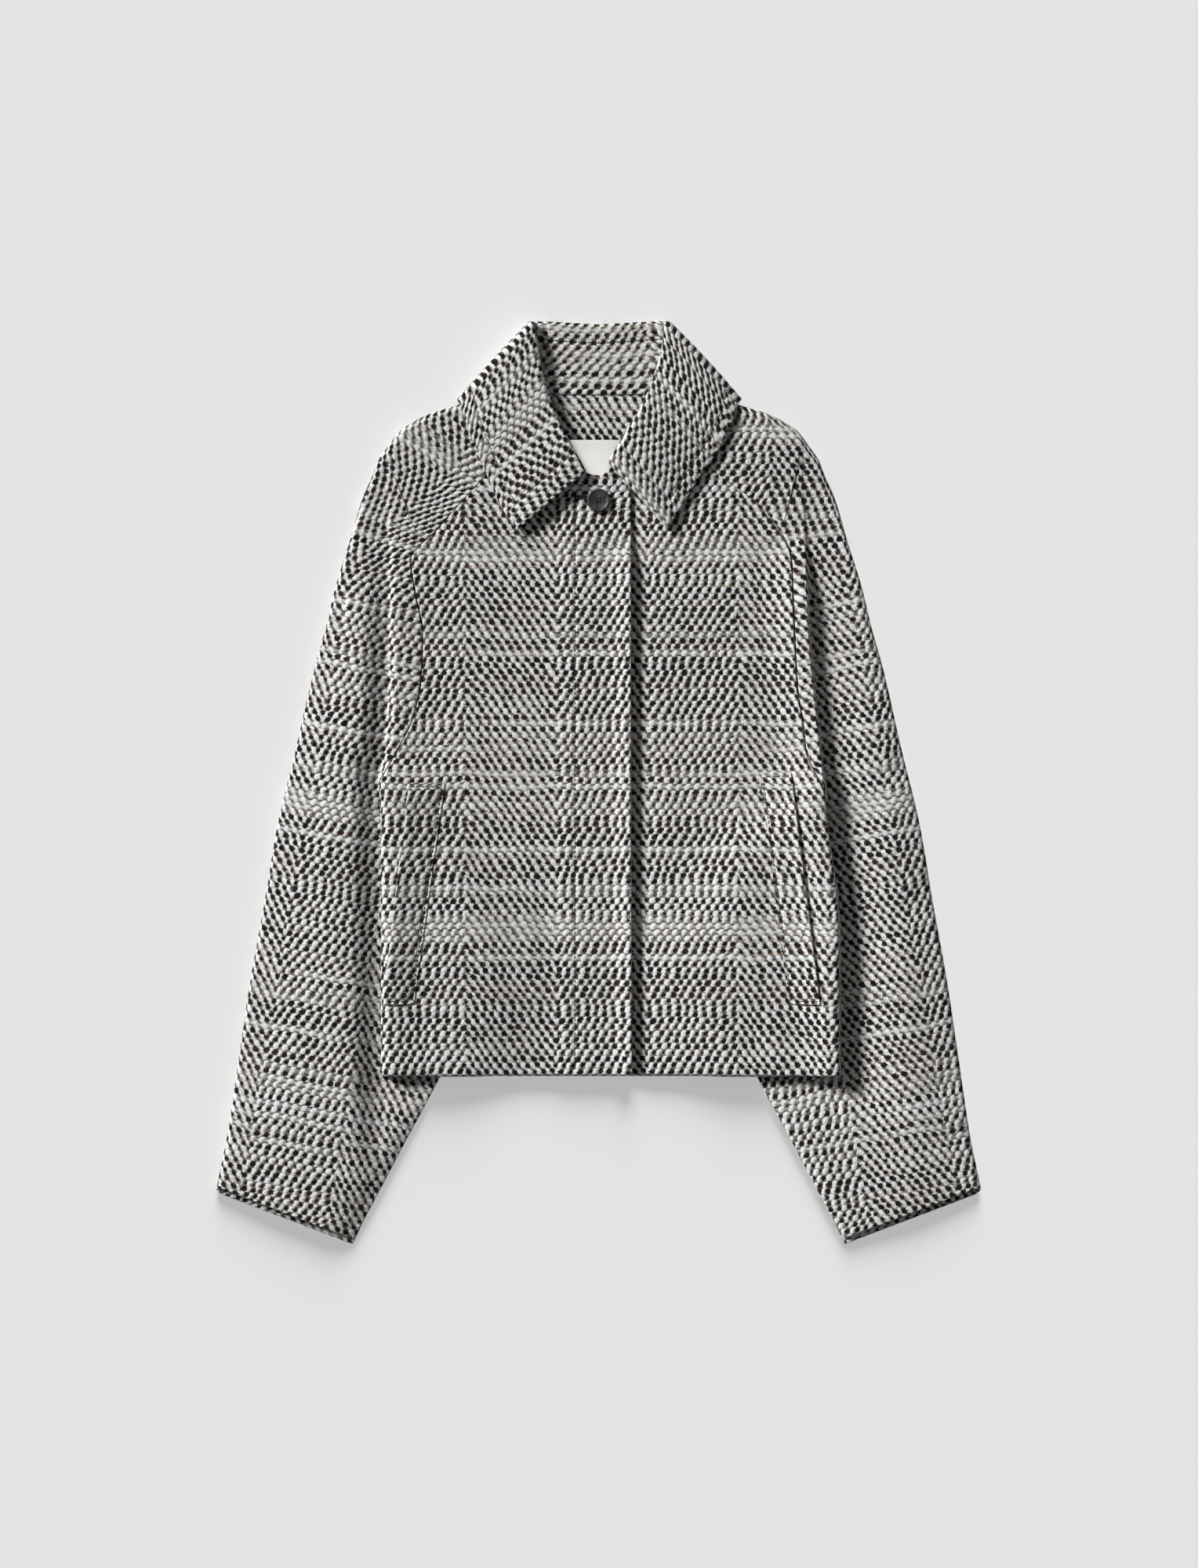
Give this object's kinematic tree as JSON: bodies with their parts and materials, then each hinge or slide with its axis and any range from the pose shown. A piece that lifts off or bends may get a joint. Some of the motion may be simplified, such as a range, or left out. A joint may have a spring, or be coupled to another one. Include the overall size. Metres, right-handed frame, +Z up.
{
  "type": "wool coat",
  "caption": "Short raglan coat of herringbone tweed with a turned-down collar, fly front, neck button and slanted welt pockets, laid flat on its back.",
  "frame": {"origin": "middle of the overall box, on the surface that the coat lies on", "axes": "+X to the viewer's right, +Y from the hem to the collar, +Z up from the surface, out of the coat's front"},
  "size_m": [0.6238, 0.7528, 0.0221],
  "materials": {
    "tweed": "thick herringbone wool tweed, white and black-brown with taupe flecks, napped",
    "label": "white satin",
    "button": "charcoal, satin"
  },
  "bodies": {
    "root": {"back": "tweed", "front_left": "tweed", "front_right": "tweed", "sleeve_left": "tweed", "sleeve_right": "tweed", "collar": "tweed", "welt_left": "tweed", "welt_right": "tweed", "button": "button", "label": "label"}
  },
  "joints": []
}
